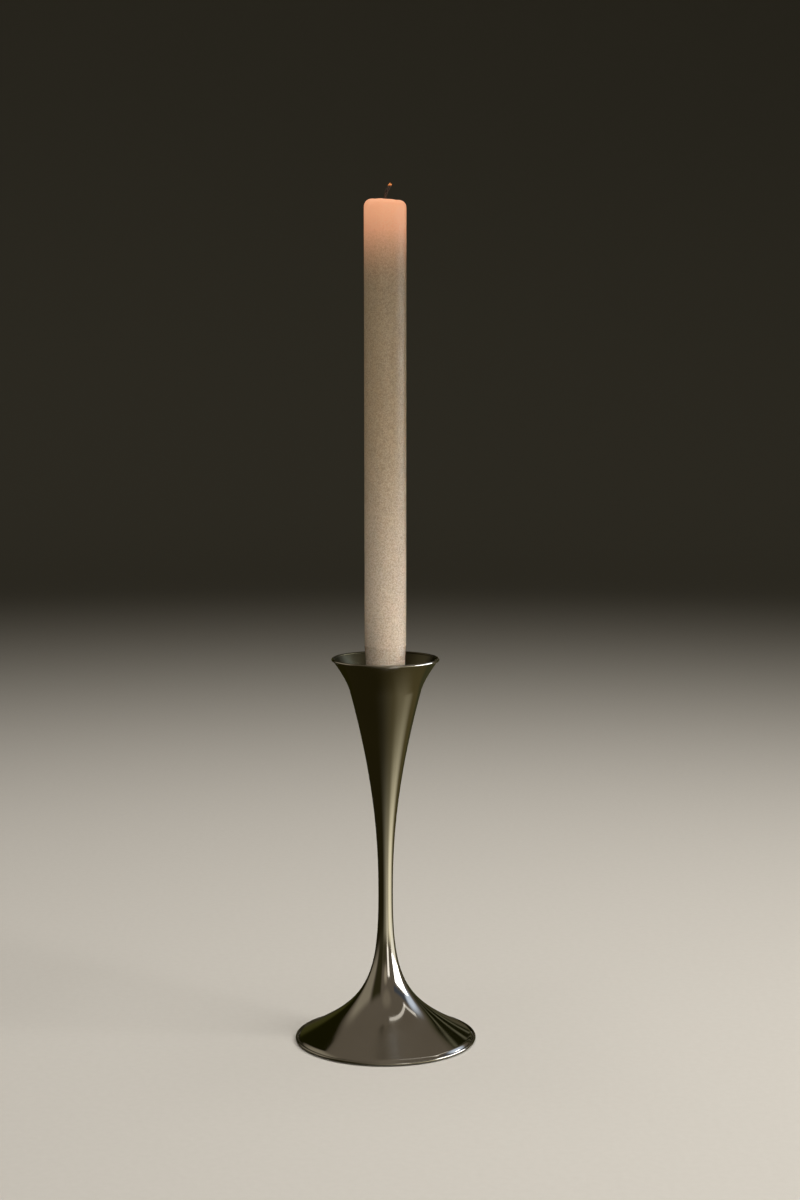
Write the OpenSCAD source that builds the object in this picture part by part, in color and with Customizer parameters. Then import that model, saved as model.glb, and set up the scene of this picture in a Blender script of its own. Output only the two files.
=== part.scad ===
// Trumpet candlestick with a dinner candle.
// A spun foot and a spun cup meet on a slim turned stem. One long screw runs down through all
// three, from the candle socket to a nut under the weight in the foot, and draws them together.

/* [Outline] */
// Height from the table to the top of the lip
total_h = 207; // [200:1:214]
// Radius of the foot over its edge wire
foot_r = 48.5; // [46:0.5:52]
// Radius of the lip over its edge wire
lip_r = 28.6; // [27:0.2:31]
// Radius of the stem at its waist
waist_r = 3.9; // [3.8:0.1:4.4]
// Height of the waist above the table
waist_z = 78.5; // [74:0.5:84]

/* [Foot flare] */
// Slope of the foot at its edge, in degrees
foot_rise = 28; // [25:1:31]
// Length over which the edge's slope is carried in towards the stem
foot_reach = 40; // [37:0.2:42]
// Length over which the waist's upright line is carried down into the foot
foot_settle = 49.2; // [46:0.2:52]
// Depth of the skirt's face inside the foot's radius
skirt_inset = 1.3; // [1.2:0.1:1.5]

/* [Cup flare] */
// Radius of the throat, where the cup's cone turns out into the lip
throat_r = 18.9; // [18:0.1:20]
// Depth of the throat below the lip
throat_depth = 17.5; // [16:0.5:19]
// Lean of the cup's side at the throat, in degrees from upright
throat_lean = 15; // [13:0.5:17]
// Length over which the waist's upright line is carried up into the cup
cup_settle = 20.4; // [16:0.2:26]
// Length over which the throat's lean is carried down the cup
cup_reach = 57.6; // [50:0.2:64]
// Slope of the sheet at the lip, in degrees
lip_rise = 52; // [45:1:60]
// Length over which the throat's lean, and the lip's slope, are carried into the bend between them
lip_reach = 5.4; // [4:0.2:7]

/* [Sheet and wires] */
// Thickness of the spun sheet
sheet = 0.8; // [0.6:0.1:0.9]
// Radius of the half-round wire around the foot
foot_wire_r = 0.8; // [0.7:0.05:0.9]
// Radius of the round wire in the lip
lip_wire_r = 0.75; // [0.65:0.05:0.9]

/* [Joints along the stem] */
// Height at which the foot shell meets the stem
foot_joint_z = 45; // [43:1:47]
// Height at which the stem meets the cup shell
cup_joint_z = 120; // [118:1:124]

/* [Candle] */
// Radius of the candle
candle_r = 11; // [10.6:0.1:11]
// Length of the candle from its foot to its top
candle_h = 276; // [80:1:280]
// Depth of the socket's floor, where the candle stands, below the lip
socket_floor_depth = 37; // [36:0.5:38]
// Depth of the socket
socket_depth = 18; // [15:1:18]
// Height of the burnt wick above the candle
wick_h = 8.2; // [4:0.1:10]

/* [Hidden] */
$fn = 96;

silver = "silver";
steel = "lightslategray";
wax = "antiquewhite";

// Steps along each curved stretch of an outline
curve_steps = 24;

// Foot: the felt stands proud of the metal, which has a short upright skirt above it
felt_proud = 0.4;
felt_t = 0.8;
plate_t = 0.5;
skirt_h = 1.5;
skirt_r = foot_r - skirt_inset;
skirt_top_z = felt_proud + skirt_h;
foot_wire_pos = [foot_r - foot_wire_r, felt_proud + foot_wire_r];

// Lip: the sheet ends in the middle of its wire
lip_wire_pos = [lip_r - lip_wire_r, total_h - lip_wire_r];

// Fits: a soldered or glued seam, a slack hole for the screw, and room around the candle
seam = 0.05;
candle_gap = 0.3;
candle_foot_r = candle_r - 0.6;
screw_hole_r = 2.2;

// Screw and nut: metric, 4 mm
screw_r = 2;
screw_end_z = 8;
head_r = 4;
head_h = 2.6;
slot_w = 1;
slot_deep = 1.2;
washer_r = 4.5;
washer_t = 0.8;
nut_flats = 7;
nut_h = 3.2;

// Spigots on the stem's ends, and the pockets that they enter
spigot_r = 3.25;
spigot_l = 4;
pocket_l = spigot_l + 0.2;

// Plugs and spacer inside the necks
foot_plug_z = 30;
cup_plug_h = 14;
spacer_r = 4;

// Weight in the foot, and the pocket for the nut under it
ballast_z = 4;
ballast_gap = 1;
pocket_r = 10;
pocket_top_z = 16;
clamp_washer_r = 8;
clamp_washer_t = 1.2;
spring_washer_r = 3.6;
spring_washer_t = 1;
spring_gap = 1.2;
nut_z = pocket_top_z - clamp_washer_t - spring_washer_t - nut_h;

// Socket: a cup with a flange, on a boss that hides the screw's head
bore_r = candle_foot_r + candle_gap;
socket_floor_z = total_h - socket_floor_depth;
socket_wall = 0.8;
socket_floor_t = 1.5;
socket_top_z = socket_floor_z + socket_depth;
head_pocket_r = washer_r + 0.2;
head_pocket_z = socket_floor_z - head_h - washer_t - 0.1;
boss_r = 6.5;
boss_h = 10;
boss_z = socket_floor_z - boss_h;

// Candle: a narrower moulded foot, and a melted top with a rounded edge around a shallow dish
candle_top_z = socket_floor_z + candle_h;
candle_foot_edge = 0.4;
candle_foot_h = 35.5;
candle_shoulder_h = 2.5;
melt_h = 4;
melt_r = 0.64 * candle_r;
dish_depth = 1.5;
dish_side = 1.5;
dish_flat = 3;
wick_r = 0.9;
wick_lean = 43;
wick_bend_r = wick_h / sin(wick_lean);

// Unit vector in the plane of the outline at an angle from the radius
function heading(angle) = [cos(angle), sin(angle)];

// The four control points of each stretch of the outline, as [radius, height]
foot_curve = let (start = [skirt_r, skirt_top_z]) [
    start,
    start + foot_reach * heading(180 - foot_rise),
    [waist_r, waist_z - foot_settle],
    [waist_r, waist_z]
];
throat = [throat_r, total_h - throat_depth];
body_curve = [
    [waist_r, waist_z],
    [waist_r, waist_z + cup_settle],
    throat - cup_reach * heading(90 - throat_lean),
    throat
];
lip_curve = let (end = lip_wire_pos + sheet / 2 * heading(lip_rise - 90)) [
    throat,
    throat + lip_reach * heading(90 - throat_lean),
    end - lip_reach * heading(lip_rise),
    end
];

// Point on a cubic curve with control points p, and the curve's direction there
function on_curve(p, t) =
    pow(1 - t, 3) * p[0] + 3 * t * pow(1 - t, 2) * p[1]
    + 3 * t * t * (1 - t) * p[2] + pow(t, 3) * p[3];
function along_curve(p, t) =
    pow(1 - t, 2) * (p[1] - p[0]) + 2 * t * (1 - t) * (p[2] - p[1])
    + t * t * (p[3] - p[2]);

// Point at a depth under the outline's surface, measured square to it
function under_curve(p, t, depth) =
    let (d = along_curve(p, t)) on_curve(p, t) + depth * [-d[1], d[0]] / norm(d);

function sample(p, depth, from = 0) =
    [for (i = [from:curve_steps]) under_curve(p, i / curve_steps, depth)];

// Half section of everything that lies deeper than depth under the surface, from z0 to z1
module within(depth, z0, z1) {
    outline = concat(
        sample(foot_curve, depth), sample(body_curve, depth, 1), sample(lip_curve, depth, 1));
    top = outline[len(outline) - 1];
    intersection() {
        polygon(concat([[0, -1], [outline[0][0], -1]], outline, [[top[0], total_h], [0, total_h]]));
        translate([0, z0]) square([skirt_r - depth, z1 - z0]);
    }
}

// Half section of the spun sheet between two heights
module sheet_section(z0, z1) {
    difference() {
        within(0, z0, z1);
        within(sheet, z0 - 1, z1 + 1);
    }
}

module foot_wire_section() {
    intersection() {
        translate(foot_wire_pos) circle(r = foot_wire_r);
        translate([skirt_r, 0]) square(2 * foot_wire_r + felt_proud);
    }
}

module lip_wire_section() {
    translate(lip_wire_pos) circle(r = lip_wire_r);
}

// A disc or tube from height z, with a hole when hole_r is given
module ring(r, hole_r, z, h) {
    translate([0, 0, z]) difference() {
        cylinder(r = r, h = h);
        translate([0, 0, -1]) cylinder(r = hole_r, h = h + 2);
    }
}

module foot_shell() {
    color(silver) rotate_extrude() sheet_section(felt_proud, foot_joint_z);
}

module foot_wire() {
    color(silver) rotate_extrude() foot_wire_section();
}

module stem() {
    color(silver) difference() {
        union() {
            rotate_extrude() within(0, foot_joint_z, cup_joint_z);
            translate([0, 0, foot_joint_z - spigot_l]) cylinder(r = spigot_r, h = spigot_l);
            translate([0, 0, cup_joint_z]) cylinder(r = spigot_r, h = spigot_l);
        }
        cylinder(r = screw_hole_r, h = total_h);
    }
}

module cup_shell() {
    color(silver) rotate_extrude() difference() {
        sheet_section(cup_joint_z, lip_wire_pos[1]);
        lip_wire_section();
    }
}

module lip_wire() {
    color(silver) rotate_extrude() lip_wire_section();
}

module candle_socket() {
    color("gainsboro") difference() {
        union() {
            translate([0, 0, boss_z]) cylinder(r = boss_r, h = boss_h);
            translate([0, 0, socket_floor_z - socket_floor_t])
                cylinder(r = bore_r + socket_wall, h = socket_floor_t + socket_depth);
            rotate_extrude() within(sheet + seam, socket_top_z - socket_wall, socket_top_z);
        }
        translate([0, 0, socket_floor_z]) cylinder(r = bore_r, h = socket_depth + 1);
        translate([0, 0, head_pocket_z]) cylinder(r = head_pocket_r, h = socket_floor_z);
        cylinder(r = screw_hole_r, h = total_h);
    }
}

module socket_screw() {
    head_z = head_pocket_z + washer_t;
    color(steel) difference() {
        union() {
            translate([0, 0, screw_end_z]) cylinder(r = screw_r, h = head_z - screw_end_z);
            translate([0, 0, head_z]) cylinder(r = head_r, h = head_h);
        }
        translate([-head_r, -slot_w / 2, head_z + head_h - slot_deep])
            cube([2 * head_r, slot_w, slot_deep + 1]);
    }
}

module screw_washer() {
    color(steel) ring(washer_r, screw_hole_r, head_pocket_z, washer_t);
}

module spacer_tube() {
    spacer_z = cup_joint_z + cup_plug_h;
    color(steel) ring(spacer_r, screw_hole_r, spacer_z, boss_z - spacer_z);
}

module cup_plug() {
    color("goldenrod") difference() {
        rotate_extrude() within(sheet + seam, cup_joint_z, cup_joint_z + cup_plug_h);
        cylinder(r = screw_hole_r, h = total_h);
        cylinder(r = spigot_r + seam, h = cup_joint_z + pocket_l);
    }
}

module foot_plug() {
    color("goldenrod") difference() {
        rotate_extrude() within(sheet + seam, foot_plug_z, foot_joint_z);
        cylinder(r = screw_hole_r, h = total_h);
        translate([0, 0, foot_joint_z - pocket_l]) cylinder(r = spigot_r + seam, h = total_h);
    }
}

module ballast() {
    color("dimgray") difference() {
        rotate_extrude() within(sheet + ballast_gap, ballast_z, foot_plug_z);
        cylinder(r = screw_hole_r, h = total_h);
        cylinder(r = pocket_r, h = pocket_top_z);
    }
}

module clamp_washer() {
    color(steel)
        ring(clamp_washer_r, screw_hole_r, pocket_top_z - clamp_washer_t, clamp_washer_t);
}

module spring_washer() {
    spring_z = nut_z + nut_h;
    color(steel) difference() {
        ring(spring_washer_r, screw_hole_r, spring_z, spring_washer_t);
        translate([0, -spring_gap / 2, spring_z - 1])
            cube([spring_washer_r + 1, spring_gap, spring_washer_t + 2]);
    }
}

module hex_nut() {
    color(steel) translate([0, 0, nut_z]) difference() {
        cylinder(r = nut_flats / 2 / cos(30), h = nut_h, $fn = 6);
        translate([0, 0, -1]) cylinder(r = screw_r, h = nut_h + 2);
    }
}

module base_plate() {
    color(steel) translate([0, 0, felt_t]) cylinder(r = skirt_r - sheet - seam, h = plate_t);
}

module felt_pad() {
    color("darkolivegreen") cylinder(r = skirt_r - sheet - 0.2, h = felt_t);
}

module candle() {
    edge_curve = [
        [candle_r, candle_top_z - melt_h],
        [candle_r, candle_top_z - melt_h / 3],
        [melt_r + melt_h / 2, candle_top_z],
        [melt_r, candle_top_z]
    ];
    dish_curve = [
        [melt_r, candle_top_z],
        [melt_r - dish_side, candle_top_z],
        [wick_r + dish_flat, candle_top_z - dish_depth],
        [wick_r, candle_top_z - dish_depth]
    ];
    color(wax) rotate_extrude() polygon(concat(
        [
            [wick_r, socket_floor_z],
            [candle_foot_r - candle_foot_edge, socket_floor_z],
            [candle_foot_r, socket_floor_z + candle_foot_edge],
            [candle_foot_r, socket_floor_z + candle_foot_h],
            [candle_r, socket_floor_z + candle_foot_h + candle_shoulder_h]
        ],
        sample(edge_curve, 0),
        sample(dish_curve, 0, 1)
    ));
}

module wick() {
    color("dimgray") {
        translate([0, 0, socket_floor_z]) cylinder(r = wick_r, h = candle_h);
        translate([wick_bend_r, 0, candle_top_z]) rotate([90, 0, 0]) mirror([1, 0, 0])
            rotate_extrude(angle = wick_lean) translate([wick_bend_r, 0]) circle(r = wick_r);
    }
}

foot_shell();
foot_wire();
stem();
cup_shell();
lip_wire();
candle_socket();
socket_screw();
screw_washer();
spacer_tube();
cup_plug();
foot_plug();
ballast();
clamp_washer();
spring_washer();
hex_nut();
base_plate();
felt_pad();
candle();
wick();
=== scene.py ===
import math

import bpy
from mathutils import Matrix, Vector, noise


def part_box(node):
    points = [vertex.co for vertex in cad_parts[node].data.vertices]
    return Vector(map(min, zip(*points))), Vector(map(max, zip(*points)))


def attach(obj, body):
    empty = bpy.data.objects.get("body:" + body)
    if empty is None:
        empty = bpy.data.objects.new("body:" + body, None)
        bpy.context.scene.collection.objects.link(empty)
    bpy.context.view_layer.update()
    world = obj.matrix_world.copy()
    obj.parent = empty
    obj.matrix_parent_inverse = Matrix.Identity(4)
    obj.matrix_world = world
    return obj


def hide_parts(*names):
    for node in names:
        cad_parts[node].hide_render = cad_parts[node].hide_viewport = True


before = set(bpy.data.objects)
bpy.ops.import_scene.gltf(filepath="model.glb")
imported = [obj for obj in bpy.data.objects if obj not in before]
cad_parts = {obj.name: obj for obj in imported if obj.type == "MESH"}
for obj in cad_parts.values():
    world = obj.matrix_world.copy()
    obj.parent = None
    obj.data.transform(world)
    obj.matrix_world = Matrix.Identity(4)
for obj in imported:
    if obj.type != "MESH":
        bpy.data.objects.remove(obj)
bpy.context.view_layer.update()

# Lengths are in metres, and MM turns a size in millimetres into one.
MM = 0.001

# ---------------------------------------------------------------- sizes from the frame


def span(node):
    """Outer radius, lowest height and highest height of a turned CAD node."""
    low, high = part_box(node)
    return high.x, low.z, high.z


FOOT_R, FOOT_LOW, FOOT_WIRE_TOP = span("foot_wire")
LIP_R, LIP_LOW, LIP_TOP = span("lip_wire")
_, STEM_LOW, STEM_HIGH = span("stem")
CANDLE_R, CANDLE_LOW, CANDLE_TOP = span("candle")

SHEET = 0.8 * MM
SEAM = 0.05 * MM
FOOT_WIRE_R = (FOOT_WIRE_TOP - FOOT_LOW) / 2
LIP_WIRE_R = (LIP_TOP - LIP_LOW) / 2
SKIRT_R = FOOT_R - 1.3 * MM
SKIRT_TOP = FOOT_LOW + 1.5 * MM
SPIGOT_R = 3.25 * MM
SPIGOT_H = 4 * MM
SCREW_HOLE_R = 2.2 * MM
FOOT_JOINT = STEM_LOW + SPIGOT_H
CUP_JOINT = STEM_HIGH - SPIGOT_H

# Outline of the candlestick: waist, throat and what joins them. RISE and LEAN are in degrees.
WAIST_R = 3.9 * MM
WAIST_Z = 78.5 * MM
FOOT_RISE = 28
FOOT_REACH = 40 * MM
FOOT_SETTLE = 49.2 * MM
THROAT = Vector((18.9 * MM, LIP_TOP - 17.5 * MM))
THROAT_LEAN = 15
CUP_SETTLE = 20.4 * MM
CUP_REACH = 57.6 * MM
LIP_RISE = 52
LIP_REACH = 5.4 * MM
LIP_WIRE = Vector((LIP_R - LIP_WIRE_R, LIP_TOP - LIP_WIRE_R))
FOOT_WIRE = Vector((FOOT_R - FOOT_WIRE_R, FOOT_LOW + FOOT_WIRE_R))

# Steps round the axis, for the large pieces and for the small ones
ROUND = 192
SMALL_ROUND = 64

# Edges that turn by more degrees than this are shaded sharp
SHARP_FROM = 35

# Height that the lights are aimed at
AIM_Z = 0.06

# ---------------------------------------------------------------- outlines, as (radius, height)


def heading(degrees):
    """A unit direction in the plane of the outline, turned up from the radius."""
    return Vector((math.cos(math.radians(degrees)), math.sin(math.radians(degrees))))


def outline(*points):
    """An outline from pairs of radius and height."""
    return [Vector(p) for p in points]


def cubic(p, steps, depth=0.0):
    """Points on a cubic curve, or at a depth to its left."""
    points = []
    for i in range(steps + 1):
        t = i / steps
        u = 1 - t
        at = u**3 * p[0] + 3 * t * u**2 * p[1] + 3 * t**2 * u * p[2] + t**3 * p[3]
        along = u**2 * (p[1] - p[0]) + 2 * t * u * (p[2] - p[1]) + t**2 * (p[3] - p[2])
        along.normalize()
        points.append(at + depth * Vector((-along.y, along.x)))
    return points


def surface(depth):
    """The outline from the foot's edge to the lip, at a depth under the metal's surface."""
    start = Vector((SKIRT_R, SKIRT_TOP))
    end = LIP_WIRE + SHEET / 2 * heading(LIP_RISE - 90)
    waist = Vector((WAIST_R, WAIST_Z))
    foot = [
        start,
        start + FOOT_REACH * heading(180 - FOOT_RISE),
        waist - Vector((0, FOOT_SETTLE)),
        waist,
    ]
    body = [
        waist,
        waist + Vector((0, CUP_SETTLE)),
        THROAT - CUP_REACH * heading(90 - THROAT_LEAN),
        THROAT,
    ]
    lip = [
        THROAT,
        THROAT + LIP_REACH * heading(90 - THROAT_LEAN),
        end - LIP_REACH * heading(LIP_RISE),
        end,
    ]
    return cubic(foot, 90, depth) + cubic(body, 90, depth)[1:] + cubic(lip, 30, depth)[1:]


def between(points, low, high):
    """The stretch of a rising outline between two heights, cut level at both."""
    cut = []
    for a, b in zip(points, points[1:]):
        for height in (low, high):
            if a.y < height <= b.y:
                cut.append(a.lerp(b, (height - a.y) / (b.y - a.y)))
        if low < b.y < high:
            cut.append(b)
    return sorted(cut, key=lambda p: p.y)


def arc(centre, radius, start, end, steps):
    """Points on an arc, between two angles in degrees."""
    return [centre + radius * heading(start + (end - start) * i / steps) for i in range(steps + 1)]


def softened(loop, radius, steps=3):
    """A closed outline with its corners rounded, where they turn by more than 30 degrees."""
    result = []
    for i, here in enumerate(loop):
        before, after = loop[i - 1], loop[(i + 1) % len(loop)]
        back, on = before - here, after - here
        turn = math.degrees(back.angle(-on))
        if turn < 30:
            result.append(here)
            continue
        reach = min(radius * math.tan(math.radians(turn) / 2), back.length / 3, on.length / 3)
        a, b = here + reach * back.normalized(), here + reach * on.normalized()
        for k in range(steps + 1):
            t = k / steps
            result.append((1 - t) ** 2 * a + 2 * t * (1 - t) * here + t**2 * b)
    return result


def box_outline(inner, outer, low, high):
    """Outline of a plain ring or tube, or of a disc where the inner radius is 0."""
    return outline((inner, low), (outer, low), (outer, high), (inner, high))


# ---------------------------------------------------------------- meshes


def add_mesh(name, points, faces, sharp_from=SHARP_FROM):
    mesh = bpy.data.meshes.new(name)
    mesh.from_pydata(points, [], faces)
    mesh.validate()
    mesh.shade_smooth()
    mesh.set_sharp_from_angle(angle=math.radians(sharp_from))
    piece = bpy.data.objects.new(name, mesh)
    bpy.context.scene.collection.objects.link(piece)
    return piece


def lathe(name, loop, steps=ROUND, shape=None, sharp_from=SHARP_FROM):
    """A closed outline turned about the Z axis. Points on the axis become a single pole.

    shape, where it is given, moves each point: it takes the angle, the radius and the height.
    """
    points, rings = [], []
    for p in loop:
        if p.x < 1e-9:
            rings.append([len(points)])
            points.append((0, 0, p.y))
            continue
        rings.append(list(range(len(points), len(points) + steps)))
        for k in range(steps):
            angle = 2 * math.pi * k / steps
            r, z = shape(angle, p.x, p.y) if shape else (p.x, p.y)
            points.append((r * math.cos(angle), r * math.sin(angle), z))
    faces = []
    for a, b in zip(rings, rings[1:] + rings[:1]):
        if len(a) == 1 and len(b) == 1:
            continue
        for k in range(steps):
            corners = (a[k % len(a)], a[(k + 1) % len(a)], b[(k + 1) % len(b)], b[k % len(b)])
            faces.append(list(dict.fromkeys(corners)))
    return add_mesh(name, points, faces, sharp_from)


def tube_faces(first, rows, size):
    """Faces of a tube of rings, whose points start at first, with a cap at each end."""
    faces = []
    for k in range(rows):
        a, b = first + k * size, first + (k + 1) * size
        for i in range(size):
            j = (i + 1) % size
            faces.append((a + i, a + j, b + j, b + i))
    faces.append([first + i for i in range(size)][::-1])
    faces.append([first + rows * size + i for i in range(size)])
    return faces


def hand_over(piece, node, material, body="holder"):
    """The piece takes a CAD node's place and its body."""
    piece.data.materials.append(material)
    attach(piece, body)
    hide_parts(node)


# ---------------------------------------------------------------- materials


class Shading:
    """A node tree, with short calls for the nodes that it needs."""

    def __init__(self, owner, shader, output, place):
        owner.use_nodes = True
        self.tree = owner.node_tree
        self.tree.nodes.clear()
        self.shader = self.add(shader)
        self.tree.links.new(self.shader.outputs[0], self.add(output).inputs["Surface"])
        self.place = self.add("ShaderNodeTexCoord").outputs[place]

    def add(self, kind, **settings):
        made = self.tree.nodes.new(kind)
        for key, value in settings.items():
            setattr(made, key, value)
        return made

    def feed(self, socket, value):
        if isinstance(value, bpy.types.NodeSocket):
            self.tree.links.new(value, socket)
        else:
            socket.default_value = value

    def math(self, operation, *values):
        made = self.add("ShaderNodeMath", operation=operation)
        for socket, value in zip(made.inputs, values):
            self.feed(socket, value)
        return made.outputs[0]

    def ramp(self, value, low, high, to_low=0.0, to_high=1.0):
        """A value between low and high, eased onto the range to_low to to_high."""
        made = self.add("ShaderNodeMapRange", interpolation_type="SMOOTHSTEP")
        for socket, number in zip(made.inputs, (value, low, high, to_low, to_high)):
            self.feed(socket, number)
        return made.outputs[0]

    def mix(self, share, a, b, blend="MIX"):
        made = self.add("ShaderNodeMix", data_type="RGBA", blend_type=blend)
        self.feed(made.inputs["Factor"], share)
        self.feed(made.inputs[6], a)
        self.feed(made.inputs[7], b)
        return made.outputs[2]

    def stretched(self, x, y, z):
        made = self.add("ShaderNodeMapping")
        self.feed(made.inputs["Vector"], self.place)
        self.feed(made.inputs["Scale"], (x, y, z))
        return made.outputs[0]

    def clouds(self, scale, detail=3.0, roughness=0.5, place=None):
        made = self.add("ShaderNodeTexNoise")
        self.feed(made.inputs["Vector"], self.place if place is None else place)
        self.feed(made.inputs["Scale"], scale)
        self.feed(made.inputs["Detail"], detail)
        self.feed(made.inputs["Roughness"], roughness)
        return made.outputs["Fac"]

    def xyz(self):
        split = self.add("ShaderNodeSeparateXYZ")
        self.feed(split.inputs[0], self.place)
        return split.outputs

    def axes(self):
        """The distance from the Z axis, and the height."""
        x, y, z = self.xyz()
        square = self.math("ADD", self.math("MULTIPLY", x, x), self.math("MULTIPLY", y, y))
        return self.math("SQRT", square), z

    def bump(self, height, strength, distance):
        made = self.add("ShaderNodeBump")
        self.feed(made.inputs["Height"], height)
        self.feed(made.inputs["Strength"], strength)
        self.feed(made.inputs["Distance"], distance)
        self.tree.links.new(made.outputs[0], self.shader.inputs["Normal"])

    def set(self, **values):
        for key, value in values.items():
            self.feed(self.shader.inputs[key.replace("_", " ")], value)


class Surface(Shading):
    """A material with one Principled shader, placed by the object's own coordinates."""

    def __init__(self, name):
        self.material = bpy.data.materials.new(name)
        super().__init__(self.material, "ShaderNodeBsdfPrincipled", "ShaderNodeOutputMaterial", "Object")


def lathe_marks(s):
    """Fine rings left by turning: quick to change along the outline, slow round the axis."""
    slant = 0.6
    per_metre = 900.0
    radius, height = s.axes()
    along = s.math("SUBTRACT", height, s.math("MULTIPLY", radius, slant))
    place = s.add("ShaderNodeCombineXYZ")
    s.feed(place.inputs[0], s.math("MULTIPLY", along, per_metre))
    s.feed(place.inputs[1], s.clouds(14.0, 1.0))
    return s.clouds(1.0, 4.0, 0.6, place.outputs[0])


def silver_plate(name, clean, dull, smooth, hazy):
    """Plate with haze and turning marks. Far from the axis it is duller in front and behind."""
    s = Surface(name)
    cloud = s.clouds(26.0, 4.0, 0.55)
    smudge = s.clouds(95.0, 6.0, 0.62)
    rings = lathe_marks(s)
    colour = s.mix(s.ramp(cloud, 0.35, 0.7), (*clean, 1), (*dull, 1))
    worn = s.ramp(s.axes()[0], 22 * MM, 31 * MM, 0.0, 0.13)
    middle = s.ramp(s.math("ABSOLUTE", s.xyz()[0]), 27 * MM, 15 * MM)
    rough = s.math("ADD", s.ramp(smudge, 0.35, 0.75, smooth, hazy), s.math("MULTIPLY", worn, middle))
    s.set(Metallic=1.0, Base_Color=colour, Roughness=rough)
    s.bump(rings, 0.06, 0.02 * MM)
    return s.material


def zinc_steel():
    s = Surface("zinc_steel")
    colour = s.mix(s.clouds(240.0, 3.0), (0.60, 0.61, 0.62, 1), (0.50, 0.49, 0.46, 1))
    s.set(Metallic=1.0, Base_Color=colour, Roughness=s.ramp(s.clouds(600.0, 5.0), 0.3, 0.7, 0.22, 0.4))
    s.bump(lathe_marks(s), 0.25, 0.02 * MM)
    return s.material


def turned_brass():
    s = Surface("turned_brass")
    colour = s.mix(s.clouds(120.0, 4.0), (0.74, 0.52, 0.22, 1), (0.56, 0.37, 0.14, 1))
    s.set(Metallic=1.0, Base_Color=colour, Roughness=s.ramp(s.clouds(400.0, 4.0), 0.3, 0.7, 0.2, 0.38))
    s.bump(lathe_marks(s), 0.5, 0.03 * MM)
    return s.material


def rough_iron():
    s = Surface("rough_iron")
    grain = s.clouds(700.0, 6.0, 0.7)
    colour = s.mix(s.clouds(90.0, 5.0), (0.055, 0.053, 0.05, 1), (0.13, 0.10, 0.08, 1))
    s.set(Metallic=0.6, Base_Color=colour, Roughness=s.ramp(grain, 0.3, 0.7, 0.55, 0.85))
    s.bump(grain, 0.7, 0.25 * MM)
    return s.material


def wool_felt():
    s = Surface("wool_felt")
    fibre = s.clouds(1500.0, 6.0, 0.75, s.stretched(1, 1, 3))
    colour = s.mix(fibre, (0.045, 0.055, 0.03, 1), (0.11, 0.125, 0.07, 1))
    s.set(Base_Color=colour, Roughness=0.95, Sheen_Weight=0.5, Sheen_Roughness=0.5)
    s.bump(fibre, 0.8, 0.25 * MM)
    return s.material


def candle_wax():
    """Wax with a frosty bloom, a glossier band just above the lip, painted shade towards the top, and a
    painted warm glow at the top.
    """
    s = Surface("candle_wax")
    height = s.axes()[1]
    mottle = s.clouds(60.0, 5.0, 0.6)
    bloom = s.clouds(900.0, 2.0, 0.7)
    speck = s.clouds(1700.0, 2.0, 0.7)
    body = s.mix(s.ramp(mottle, 0.3, 0.7), (0.56, 0.455, 0.345, 1), (0.49, 0.395, 0.295, 1))
    bloomed = s.mix(s.ramp(bloom, 0.38, 0.62), body, (0.395, 0.312, 0.232, 1))
    grained = s.mix(s.ramp(speck, 0.44, 0.62, 0.0, 0.85), bloomed, (0.63, 0.54, 0.435, 1))
    # Painted shade: the wax is darkened towards the top
    upper = s.ramp(height, LIP_TOP + 30 * MM, LIP_TOP + 135 * MM)
    shaded_towards_top = s.mix(upper, grained, (0.82, 0.76, 0.64, 1), "MULTIPLY")
    # Painted glow: an orange tint and an emission that grow towards the top of the wax
    rise = s.ramp(height, CANDLE_TOP - 54 * MM, CANDLE_TOP)
    warm = s.math("MULTIPLY", rise, rise)
    colour = s.mix(s.math("MULTIPLY", warm, 0.75), shaded_towards_top, (0.90, 0.50, 0.33, 1))
    off_band = s.math("ABSOLUTE", s.math("SUBTRACT", height, LIP_TOP + 3 * MM))
    glazed = s.ramp(off_band, 2.5 * MM, 5 * MM, 1.0, 0.0)
    dry = s.ramp(s.clouds(300.0, 4.0), 0.3, 0.7, 0.36, 0.50)
    rough = s.math("SUBTRACT", dry, s.math("MULTIPLY", glazed, 0.28))
    s.set(
        Base_Color=colour,
        Roughness=rough,
        Specular_IOR_Level=s.math("MULTIPLY_ADD", glazed, 0.6, 0.3),
        # Emission: the painted glow at the top of the wax
        Emission_Color=(1.0, 0.40, 0.20, 1),
        Emission_Strength=s.math("MULTIPLY", warm, 0.52),
        Subsurface_Weight=0.25,
        Subsurface_Radius=(1.0, 0.55, 0.35),
        Subsurface_Scale=2.5 * MM,
    )
    s.bump(s.math("ADD", s.math("MULTIPLY", speck, 0.5), bloom), 0.3, 0.1 * MM)
    return s.material


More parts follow.
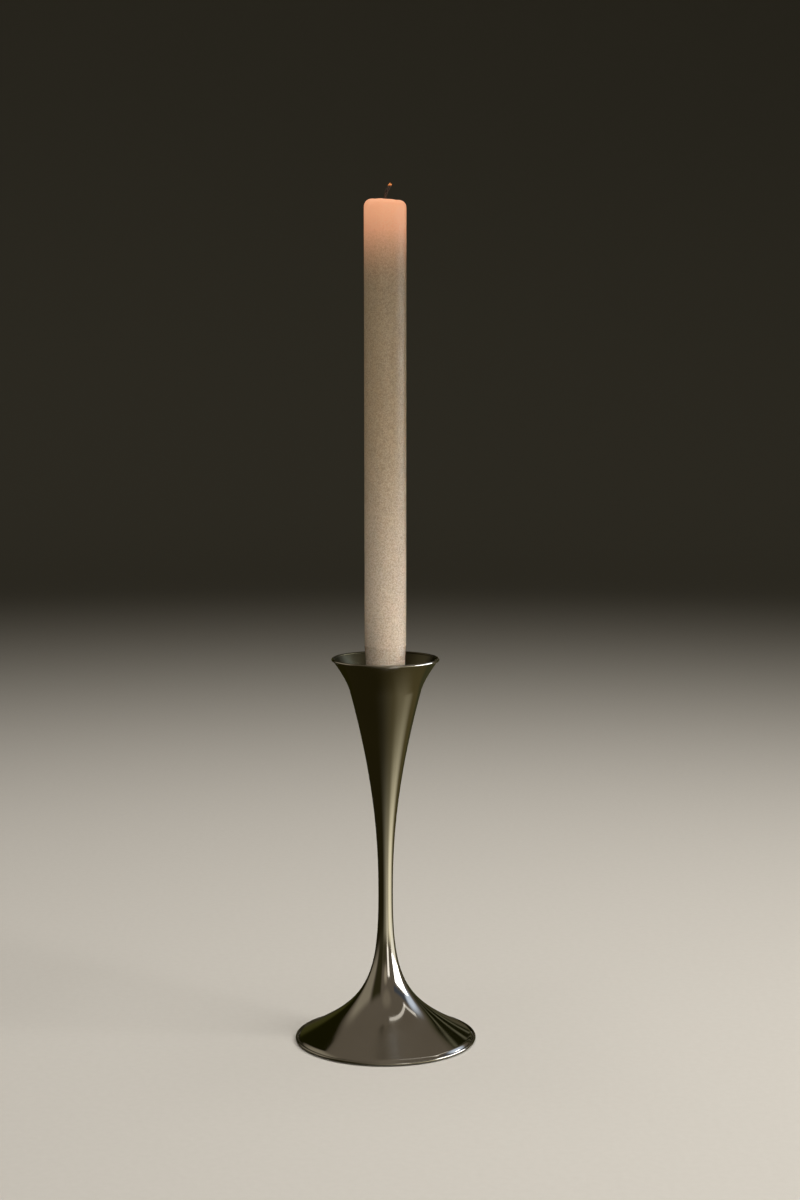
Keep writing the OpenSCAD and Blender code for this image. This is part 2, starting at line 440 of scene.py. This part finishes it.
def charred_wick():
    """Cotton that is charred where it leaves the wax, with a painted ember glow at its tip."""
    s = Surface("charred_wick")
    fibre = s.clouds(2600.0, 5.0, 0.7, s.stretched(1, 1, 0.35))
    height = s.axes()[1]
    char = s.ramp(height, CANDLE_TOP - 2.5 * MM, CANDLE_TOP + 0.5 * MM)
    cotton = s.mix(fibre, (0.50, 0.41, 0.30, 1), (0.34, 0.26, 0.18, 1))
    black = s.mix(s.ramp(fibre, 0.35, 0.7), (0.012, 0.010, 0.008, 1), (0.16, 0.135, 0.11, 1))
    # Painted glow: the tip is tinted orange and glows like an ember
    tip = s.ramp(height, CANDLE_TOP + 6.5 * MM, CANDLE_TOP + 8 * MM, 0.0, 0.6)
    burnt = s.mix(tip, black, (0.30, 0.12, 0.05, 1))
    ember = s.ramp(height, CANDLE_TOP + 6.8 * MM, CANDLE_TOP + 8 * MM, 0.0, 0.9)
    s.set(
        Base_Color=s.mix(char, cotton, burnt),
        Roughness=0.8,
        # Emission: the painted ember glow
        Emission_Color=(1.0, 0.32, 0.08, 1),
        Emission_Strength=ember,
    )
    s.bump(fibre, 0.8, 0.12 * MM)
    return s.material


# ---------------------------------------------------------------- the holder


def sheet_outline(low, high):
    """The spun sheet between two heights, up its outside and down its inside."""
    outside = between(surface(0), low, high)
    inside = between(surface(SHEET), low, high)
    return outside + inside[::-1]


def build_foot_shell(silver):
    """The spun foot, with a short straight skirt at its edge."""
    outside = between(surface(0), SKIRT_TOP, FOOT_JOINT)
    inside = [p for p in between(surface(SHEET), SKIRT_TOP - SHEET, FOOT_JOINT) if p.x < SKIRT_R - SHEET]
    inner = SKIRT_R - SHEET
    skirt = outline((inner, inside[0].y), (inner, FOOT_LOW), (SKIRT_R, FOOT_LOW))
    shell = lathe("spun_foot", outside + inside[::-1] + skirt)
    hand_over(shell, "foot_shell", silver)


def build_stem(silver):
    """The stem, with a spigot at each end and the screw's hole through it."""
    outside = between(surface(0), FOOT_JOINT, CUP_JOINT)
    upper = outline((SPIGOT_R, CUP_JOINT), (SPIGOT_R, STEM_HIGH), (SCREW_HOLE_R, STEM_HIGH))
    lower = outline((SCREW_HOLE_R, STEM_LOW), (SPIGOT_R, STEM_LOW), (SPIGOT_R, FOOT_JOINT))
    stem = lathe("turned_stem", outside + upper + lower)
    hand_over(stem, "stem", silver)


def shade_inside(piece, shade_and_tarnish):
    """Faces that look towards the axis get the dark plate: painted shade, partly soot and oxide."""
    piece.data.materials.append(shade_and_tarnish)
    for face in piece.data.polygons:
        if face.normal.xy.dot(face.center.xy) < 0:
            face.material_index = 1


def build_cup_shell(silver, shade_and_tarnish):
    """The spun cup, which ends inside the lip's wire."""
    clear = [p for p in sheet_outline(CUP_JOINT, LIP_WIRE.y) if (p - LIP_WIRE).length > 0.9 * LIP_WIRE_R]
    shell = lathe("spun_cup", clear)
    hand_over(shell, "cup_shell", silver)
    # Its inward faces take painted shade, partly soot and oxide
    shade_inside(shell, shade_and_tarnish)


def build_wires(silver, shade_and_tarnish):
    lip = lathe("lip_edge", arc(LIP_WIRE, LIP_WIRE_R, 0, 330, 11))
    hand_over(lip, "lip_wire", silver)
    # Its inward faces take painted shade, partly soot and oxide
    shade_inside(lip, shade_and_tarnish)
    flat = math.degrees(math.acos((SKIRT_R - FOOT_WIRE.x) / FOOT_WIRE_R))
    foot = lathe("foot_edge", softened(arc(FOOT_WIRE, FOOT_WIRE_R, -flat, flat, 20), 0.05 * MM))
    hand_over(foot, "foot_wire", silver)


def build_socket(silver):
    """The candle's socket: a flange, a bore, a pocket for the screw's head and a boss below."""
    flange_r, low, high = span("candle_socket")
    bore = 10.7 * MM
    wall = 0.8 * MM
    boss_r = 6.5 * MM
    floor = CANDLE_LOW
    pocket_r = 4.7 * MM
    pocket_low = floor - 3.5 * MM
    under = floor - 1.5 * MM
    loop = outline(
        (SCREW_HOLE_R, low), (boss_r, low), (boss_r, under), (bore + wall, under),
        (bore + wall, high - wall), (flange_r, high - wall), (flange_r, high),
        (bore, high), (bore, floor), (pocket_r, floor), (pocket_r, pocket_low),
        (SCREW_HOLE_R, pocket_low),
    )
    hand_over(lathe("socket_cup", softened(loop, 0.35 * MM)), "candle_socket", silver)


# ---------------------------------------------------------------- hardware inside


def build_screw(steel):
    """A slotted screw with a rounded head, and a thread over its lower end."""
    head_r, low, high = span("socket_screw")
    shank_r = 2 * MM
    head_low = high - 2.6 * MM
    pitch = 0.7 * MM
    thread_h = 26 * MM
    thread_depth = 0.38 * MM
    per_turn = 6
    rows = round(thread_h / pitch) * per_turn
    shank = outline((0, low), (shank_r - thread_depth, low))
    shank += [Vector((shank_r, low + thread_h * i / rows)) for i in range(1, rows + 1)]
    shank += outline((shank_r, head_low), (head_r, head_low))
    for p in arc(Vector((0, head_low)), 1.0, 0, 90, 10)[1:-1]:
        shank.append(Vector((head_r * p.x**0.5, head_low + (high - head_low) * (p.y - head_low))))
    shank.append(Vector((0, high)))

    def thread(angle, r, z):
        if r < shank_r or z > low + thread_h or z <= low:
            return r, z
        phase = (z / pitch - angle / (2 * math.pi)) % 1
        fade = min(1, (low + thread_h - z) / (2 * pitch), (z - low) / pitch + 0.3)
        return r - thread_depth * fade * (1 - abs(2 * phase - 1)), z

    screw = lathe("long_screw", shank, SMALL_ROUND, thread)
    slot = bpy.data.meshes.new("slot_cutter")
    half, deep = 0.5 * MM, 1.2 * MM
    corners = [
        (x * 2 * head_r, y * half, high - deep + z * 2 * deep)
        for x in (-1, 1) for y in (-1, 1) for z in (0, 1)
    ]
    sides = [(0, 1, 3, 2), (4, 6, 7, 5), (0, 4, 5, 1), (2, 3, 7, 6), (0, 2, 6, 4), (1, 5, 7, 3)]
    slot.from_pydata(corners, [], sides)
    cutter = bpy.data.objects.new("slot_cutter", slot)
    bpy.context.scene.collection.objects.link(cutter)
    cut = screw.modifiers.new("slot", "BOOLEAN")
    cut.operation = "DIFFERENCE"
    cut.object = cutter
    bpy.context.view_layer.update()
    solved = bpy.data.meshes.new_from_object(screw.evaluated_get(bpy.context.evaluated_depsgraph_get()))
    screw.modifiers.clear()
    screw.data = solved
    screw.data.set_sharp_from_angle(angle=math.radians(SHARP_FROM))
    bpy.data.objects.remove(cutter)
    hand_over(screw, "socket_screw", steel)


def build_rings(steel):
    """The washers and the spacer, which are plain rings with eased edges."""
    for node, name, ease in (
        ("screw_washer", "head_washer", 0.12),
        ("spacer_tube", "cup_spacer", 0.25),
        ("clamp_washer", "wide_washer", 0.2),
    ):
        outer, low, high = span(node)
        ring = lathe(name, softened(box_outline(SCREW_HOLE_R, outer, low, high), ease * MM), SMALL_ROUND)
        hand_over(ring, node, steel)


def build_plugs(brass):
    """The plugs in the necks of the shells, each with a pocket for one of the stem's spigots."""
    spigot_hole = SPIGOT_R + SEAM
    spare = 0.2 * MM
    for node, name, pocket, upper_r, lower_r in (
        ("cup_plug", "cup_neck_plug", CUP_JOINT + SPIGOT_H + spare, SCREW_HOLE_R, spigot_hole),
        ("foot_plug", "foot_neck_plug", FOOT_JOINT - SPIGOT_H - spare, spigot_hole, SCREW_HOLE_R),
    ):
        _, low, high = span(node)
        side = between(surface(SHEET + SEAM), low, high)
        inside = outline((upper_r, high), (upper_r, pocket), (lower_r, pocket), (lower_r, low))
        plug = lathe(name, softened(side + inside, 0.2 * MM), SMALL_ROUND)
        hand_over(plug, node, brass)


def build_ballast(iron):
    """The weight: rough as cast on its outside, with a plain hole and a pocket for the nut."""
    _, low, high = span("ballast")
    pocket_r, pocket_top = 10 * MM, 16 * MM
    side = between(surface(SHEET + 1 * MM), low, high)
    inside = outline(
        (SCREW_HOLE_R, high), (SCREW_HOLE_R, pocket_top), (pocket_r, pocket_top), (pocket_r, low)
    )
    loop = softened(side + inside, 0.6 * MM)

    def cast(angle, r, z):
        if r < pocket_r + 0.1 * MM:
            return r, z
        rough = noise.noise(Vector((r * math.cos(angle), r * math.sin(angle), z)) * 260)
        return r + 0.12 * MM * rough, z

    hand_over(lathe("cast_weight", loop, ROUND, cast), "ballast", iron)


def build_spring_washer(steel):
    """A ring split across and sprung a little, so that its ends stand apart."""
    outer, low, high = span("spring_washer")
    gap = math.radians(20)
    steps = 48
    lift = 0.12 * MM
    section = softened(box_outline(SCREW_HOLE_R, outer, low + lift, high - lift), 0.1 * MM)
    points = []
    for k in range(steps + 1):
        share = k / steps
        angle = gap / 2 + (2 * math.pi - gap) * share
        for p in section:
            points.append((p.x * math.cos(angle), p.x * math.sin(angle), p.y + lift * (2 * share - 1)))
    washer = add_mesh("split_washer", points, tube_faces(0, steps, len(section)))
    hand_over(washer, "spring_washer", steel)


def build_nut(steel):
    """A hexagonal nut with its corners turned off at 30 degrees, and a bevel round its hole."""
    corner_r, low, high = span("hex_nut")
    chamfer = math.radians(30)
    flat_r = corner_r * math.cos(math.pi / 6)
    hole = 2 * MM
    bevel = 0.25 * MM
    steps = 60

    def side(angle):
        return flat_r / math.cos((angle + math.pi / 6) % (math.pi / 3) - math.pi / 6)

    points, faces = [], []
    for k in range(steps):
        angle = 2 * math.pi * k / steps
        c, sn = math.cos(angle), math.sin(angle)
        edge = side(angle)
        fall = (edge - flat_r) * math.tan(chamfer)
        column = [
            (hole, low + bevel), (hole + bevel, low), (flat_r, low), (edge, low + fall),
            (edge, high - fall), (flat_r, high), (hole + bevel, high), (hole, high - bevel),
        ]
        points += [(r * c, r * sn, z) for r, z in column]
    size = len(points) // steps
    for k in range(steps):
        n = (k + 1) % steps
        for i in range(size):
            j = (i + 1) % size
            faces.append((k * size + i, n * size + i, n * size + j, k * size + j))
    hand_over(add_mesh("nut", points, faces, 25), "hex_nut", steel)


def build_underside(steel, felt):
    """The plate that closes the foot, and the felt under it with an uneven cut edge."""
    outer, low, high = span("base_plate")
    plate = lathe("closing_plate", box_outline(0, outer, low, high))
    hand_over(plate, "base_plate", steel)
    outer, low, high = span("felt_pad")
    edge = outer - 0.15 * MM
    ease = 0.25 * MM
    pad = [Vector((0, low))] + [Vector((edge * i / 12, low)) for i in range(1, 12)]
    pad += outline((edge - ease, low), (edge, low + ease), (edge, high), (0, high))

    def cut_edge(angle, r, z):
        if r < 0.9 * edge:
            return r, z
        at = Vector((math.cos(angle), math.sin(angle), z * 200))
        return r + 0.12 * MM * noise.noise(at * 40), z

    hand_over(lathe("felt_disc", pad, ROUND, cut_edge), "felt_pad", felt)


# ---------------------------------------------------------------- the candle


def build_candle(wax):
    """A dinner candle: a shaved foot, a melted and dished top, and a hole for the wick."""
    foot_r = CANDLE_R - 0.6 * MM
    foot_top = CANDLE_LOW + 35.5 * MM
    shoulder = 2.5 * MM
    melt = 4 * MM
    melt_r = 0.64 * CANDLE_R
    dish = 1.5 * MM
    wick_r = 0.9 * MM
    upright = CANDLE_TOP - melt
    fade = 3 * MM
    steps = 40
    wall_low = foot_top + shoulder
    wall_h = upright - foot_top - shoulder
    wall = [Vector((CANDLE_R, wall_low + wall_h * i / steps)) for i in range(1, steps + 1)]
    edge = cubic(
        outline(
            (CANDLE_R, upright), (CANDLE_R, CANDLE_TOP - melt / 3),
            (melt_r + melt / 2, CANDLE_TOP), (melt_r, CANDLE_TOP),
        ),
        16,
    )
    bowl = cubic(
        outline(
            (melt_r, CANDLE_TOP), (melt_r - 1.5 * MM, CANDLE_TOP),
            (wick_r + 3 * MM, CANDLE_TOP - dish), (wick_r, CANDLE_TOP - dish),
        ),
        14,
    )
    base = softened(
        outline(
            (wick_r, CANDLE_LOW), (foot_r, CANDLE_LOW), (foot_r, foot_top),
            (CANDLE_R, wall_low), (CANDLE_R, upright), (wick_r, upright),
        ),
        0.6 * MM,
    )
    base = [p for p in base if p.y < wall_low and p.x > wick_r + 0.01 * MM]
    loop = [Vector((wick_r, CANDLE_LOW))] + base + wall + edge[1:] + bowl[1:]

    def melted(angle, r, z):
        """The rim stands a little higher on the left, and the wall is not quite true."""
        top = max(0.0, (z - upright + fade) / (melt + fade))
        around = Vector((math.cos(angle), math.sin(angle), 0))
        uneven = -0.42 * around.x + 0.3 * noise.noise(around * 2.1 + Vector((3, 1, 0)))
        wander = noise.noise(Vector((around.x * 1.4, around.y * 1.4, z * 45)))
        outer = max(0.0, (r - melt_r) / (CANDLE_R - melt_r))
        return r + 0.035 * MM * wander * outer, z + MM * uneven * top**2 * min(1.0, r / melt_r)

    hand_over(lathe("dinner_candle", loop, ROUND, melted, 50), "candle", wax, "candle")


def build_wick(charred):
    """Three plaited cotton strands, upright in the wax and bent over where they have burnt."""
    low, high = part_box("wick")
    lean = math.radians(43)
    rise = high.z - CANDLE_TOP
    # Allowance for the strands' own thickness at the bent end, as a share of the bend's radius
    allowance = 0.075
    bend_r = rise / (math.sin(lean) + allowance * math.cos(lean))
    strand_r = 0.4 * MM
    swing, weave = 0.42 * MM, 0.3 * MM
    sideways = Vector((0, 1, 0))
    pitch = 3.6 * MM
    sides = 8
    length = CANDLE_TOP - CANDLE_LOW + bend_r * lean
    rows = round(length / (0.22 * MM))
    points, faces = [], []
    for strand in range(3):
        shift = 2 * math.pi * strand / 3
        first = len(points)
        for k in range(rows + 1):
            s = length * k / rows
            turn = max(0.0, s - (CANDLE_TOP - CANDLE_LOW)) / bend_r
            across = Vector((math.cos(turn), 0, -math.sin(turn)))
            if turn > 0:
                centre = Vector((bend_r * (1 - math.cos(turn)), 0, CANDLE_TOP + bend_r * math.sin(turn)))
            else:
                centre = Vector((0, 0, CANDLE_LOW + s))
            phase = 2 * math.pi * s / pitch + shift
            fray = 1 + 0.5 * (turn / lean) ** 3
            at = centre + swing * fray * math.sin(phase) * across
            at += weave * fray * math.sin(2 * phase) * sideways
            taper = 1 - 0.75 * max(0.0, (k - rows + 4) / 4)
            for i in range(sides):
                a = 2 * math.pi * i / sides
                rim = across * math.cos(a) + sideways * math.sin(a)
                rough = 1 + 0.18 * noise.noise(Vector((math.cos(a) * 2, s * 2500, strand * 7)))
                points.append(at + strand_r * taper * rough * rim)
        faces += tube_faces(first, rows, sides)
    hand_over(add_mesh("plaited_wick", points, faces, 60), "wick", charred, "candle")


# ---------------------------------------------------------------- camera, floor and light


def add_camera():
    """The photograph's camera: close to level, in front of the candlestick."""
    down = 6.65
    data = bpy.data.cameras.new("camera")
    data.lens = 66.5
    data.sensor_width = 36
    data.clip_start = 0.05
    data.clip_end = 50
    camera = bpy.data.objects.new("camera", data)
    camera.location = (0.0077, -1.1608, 0.3732)
    camera.rotation_euler = (math.radians(90 - down), 0, 0)
    bpy.context.scene.collection.objects.link(camera)
    bpy.context.scene.camera = camera


def add_floor():
    """A pale floor with painted shade that darkens it far from the candlestick; it curves up into a wall
    all round.
    """
    s = Surface("floor_paint")
    radius, height = s.axes()
    # Painted shade: the floor is darkened far from the candlestick
    far = s.ramp(radius, 0.5, 2.4)
    fine = s.clouds(260.0, 4.0)
    near = s.mix(fine, (0.56, 0.54, 0.50, 1), (0.60, 0.58, 0.54, 1))
    s.set(Base_Color=s.mix(far, near, (0.12, 0.115, 0.09, 1)), Roughness=1.0, Specular_IOR_Level=0.0)
    flat_r, wall_r, wall_h, bend, thick = 2.2, 3.0, 2.2, 0.8, 0.05
    loop = [Vector((0, 0))] + [Vector((flat_r * i / 20, 0)) for i in range(1, 21)]
    loop += arc(Vector((flat_r, bend)), bend, -90, 0, 12)[1:]
    back = wall_r + thick
    loop += outline((wall_r, wall_h), (back, wall_h), (back, -thick), (0, -thick))
    floor = lathe("floor", loop, 96)
    floor.data.materials.append(s.material)
    floor.visible_glossy = False
    return floor


def toward(azimuth, elevation):
    """A direction: the azimuth turns to the right from the side that the camera is on."""
    a, e = math.radians(azimuth), math.radians(elevation)
    return Vector((math.sin(a) * math.cos(e), -math.cos(a) * math.cos(e), math.sin(e)))


def only(name, floor, state):
    """What a lamp lights: the floor alone (INCLUDE), or all but the floor (EXCLUDE)."""
    chosen = bpy.data.collections.new(name)
    chosen.objects.link(floor)
    chosen.collection_objects[0].light_linking.link_state = state
    return chosen


def add_light(name, ends, distance, width, power, colour, lit, spread=180):
    """A soft panel that reaches between two directions, square on to a point low on the candlestick.

    A panel that lights nothing (lit is None) only shows as a reflection.
    """
    start, end = (distance * toward(*way) for way in ends)
    data = bpy.data.lights.new(name, "AREA")
    data.shape = "RECTANGLE"
    data.size, data.size_y = (end - start).length, width
    data.energy = power
    data.color = colour
    data.spread = math.radians(spread)
    back = (start + end).normalized()
    along = (end - start).normalized()
    turn = Matrix((along, back.cross(along), back)).transposed()
    light = bpy.data.objects.new(name, data)
    light.matrix_world = Matrix.Translation(Vector((0, 0, AIM_Z)) + (start + end) / 2) @ turn.to_4x4()
    light.visible_camera = False
    light.visible_diffuse = lit is not None
    light.visible_glossy = lit is None
    light.light_linking.receiver_collection = lit
    bpy.context.scene.collection.objects.link(light)


def add_lights(floor):
    """Four panels that only show as reflections, then lamps for the pieces and for the floor."""
    warm, cream = (1.0, 0.97, 0.93), (1.0, 0.96, 0.88)
    add_light("window", ((66, 11), (117, 11)), 0.95, 0.40, 4.2, (0.97, 0.985, 1.0), None)
    add_light("strip", ((23, -2), (23, 21)), 0.80, 0.20, 0.26, cream, None)
    add_light("tube_across", ((92, 43), (38, 80)), 1.0, 0.07, 0.10, cream, None)
    add_light("tube_back", ((90, 46), (121, 42)), 1.0, 0.06, 0.05, cream, None)
    others = only("all_but_floor", floor, "EXCLUDE")
    add_light("key", ((38, 14), (78, 14)), 0.95, 0.25, 0.76, warm, others, spread=33)
    add_light("front", ((-10, 20), (25, 20)), 0.95, 0.30, 0.60, warm, others, spread=64)
    add_light("overhead", ((-90, 62), (90, 62)), 1.5, 1.3, 8, warm, others)
    add_light("fill", ((-155, 22), (-105, 22)), 1.2, 0.6, 0.9, (1.0, 0.86, 0.68), others)
    ground = only("floor_only", floor, "INCLUDE")
    add_light("floor_top", ((-90, 62), (90, 62)), 1.5, 1.3, 15, warm, ground)
    add_light("floor_side", ((50, 36), (85, 36)), 1.5, 0.6, 13, warm, ground)


def add_surroundings():
    """The dim studio that the metal mirrors: dark on the left, lit on the right and low in front."""
    world = bpy.data.worlds.new("studio")
    s = Shading(world, "ShaderNodeBackground", "ShaderNodeOutputWorld", "Generated")
    x, y, z = s.xyz()
    azimuth = s.math("ARCTAN2", x, s.math("MULTIPLY", y, -1.0))
    elevation = s.math("ARCSINE", z)

    def ramp(angle, low, high, to_high=1.0):
        return s.ramp(angle, math.radians(low), math.radians(high), 0.0, to_high)

    def patch(way, core, edge, tint):
        """A soft round area, flat as far as the core angle and gone at the edge angle."""
        dot = s.add("ShaderNodeVectorMath", operation="DOT_PRODUCT")
        s.feed(dot.inputs[0], s.place)
        s.feed(dot.inputs[1], toward(*way))
        share = ramp(s.math("ARCCOSINE", dot.outputs["Value"]), edge, core)
        return s.mix(share, colour, (*tint, 1))

    def zone(azimuths, elevations, soft, tint):
        """An area between two azimuths and two elevations, with soft edges."""
        share = 1.0
        for angle, (start, end) in ((azimuth, azimuths), (elevation, elevations)):
            share = s.math("MULTIPLY", share, ramp(angle, start - soft, start + soft))
            share = s.math("MULTIPLY", share, ramp(angle, end + soft, end - soft))
        return s.mix(share, colour, (*tint, 1))

    # Below and above the horizon
    low = s.mix(s.ramp(x, -0.3, 0.9), (0.017, 0.0135, 0.004, 1), (0.09, 0.072, 0.028, 1))
    colour = s.mix(ramp(elevation, -9, 2), low, (0.132, 0.110, 0.081, 1))
    # The left, with one lighter area, and the dim area round the camera
    colour = zone((-131, -83), (-1, 44), 8, (0.28, 0.245, 0.18))
    colour = zone((-76, -28), (-8, 48), 8, (0.030, 0.026, 0.010))
    colour = zone((-28, 6), (-8, 11), 6, (0.060, 0.052, 0.026))
    # Dark areas behind on the left and on the right, and three folds of cloth on the right
    colour = zone((-170, -139), (-40, 45), 6, (0.014, 0.012, 0.002))
    colour = zone((-180, -141), (2, 46), 1.2, (0.009, 0.0085, 0.001))
    colour = patch((-166, 5), 3, 14, (0.042, 0.040, 0.010))
    colour = zone((140, 170), (-40, 40), 6, (0.045, 0.043, 0.018))
    colour = zone((144, 172), (4, 38), 2, (0.010, 0.0095, 0.002))
    for fold in (148, 156.5, 163.5):
        colour = zone((fold - 0.9, fold + 0.9), (4, 38), 0.8, (0.125, 0.118, 0.075))
    # The lit ground in front and to the right
    rise = s.math("ADD", ramp(azimuth, -45, 20, 0.28), ramp(azimuth, 28, 60, 0.72))
    across = s.math("MULTIPLY", rise, ramp(azimuth, 116, 74))
    fall = s.math("ADD", ramp(elevation, -85, -30, 0.07), ramp(elevation, -36, -11, 0.93))
    upward = s.math("MULTIPLY", fall, ramp(elevation, -1, -9))
    colour = s.mix(s.math("MULTIPLY", across, upward), colour, (1.22, 1.12, 0.80, 1))
    colour = patch((22, -7), 4, 12, (0.75, 0.69, 0.52))
    colour = zone((66, 116), (-11, 6), 7, (1.15, 1.10, 0.92))
    # Soft light above the camera, and a cool band and spot high on the right
    colour = patch((0, 22), 3, 16, (0.36, 0.31, 0.23))
    colour = patch((6, 54), 6, 20, (0.20, 0.17, 0.125))
    colour = zone((50, 116), (31, 40), 3, (0.060, 0.068, 0.082))
    colour = patch((118, 28), 6, 18, (0.75, 0.85, 1.0))
    # A narrow strip of lit ground straight behind
    behind = s.math("MULTIPLY", ramp(s.math("ABSOLUTE", azimuth), 169, 176), ramp(elevation, -62, -40))
    behind = s.math("MULTIPLY", behind, ramp(elevation, -10, -24))
    colour = s.mix(behind, colour, (0.95, 0.90, 0.78, 1))
    s.feed(s.shader.inputs["Color"], colour)
    bpy.context.scene.world = world


add_camera()
add_lights(add_floor())
add_surroundings()
bpy.context.scene.view_settings.view_transform = "Standard"

silver = silver_plate("silver_plate", (0.64, 0.62, 0.585), (0.60, 0.58, 0.54), 0.06, 0.11)
# Dark plate for the inward faces of the cup and the lip: painted shade, partly soot and oxide
shade_and_tarnish = silver_plate("silver_shade_and_tarnish", (0.13, 0.12, 0.075), (0.085, 0.076, 0.045), 0.25, 0.40)
steel = zinc_steel()
brass = turned_brass()
build_foot_shell(silver)
build_stem(silver)
build_cup_shell(silver, shade_and_tarnish)
build_wires(silver, shade_and_tarnish)
build_socket(silver)
build_screw(steel)
build_rings(steel)
build_plugs(brass)
build_ballast(rough_iron())
build_spring_washer(steel)
build_nut(steel)
build_underside(steel, wool_felt())
build_candle(candle_wax())
build_wick(charred_wick())
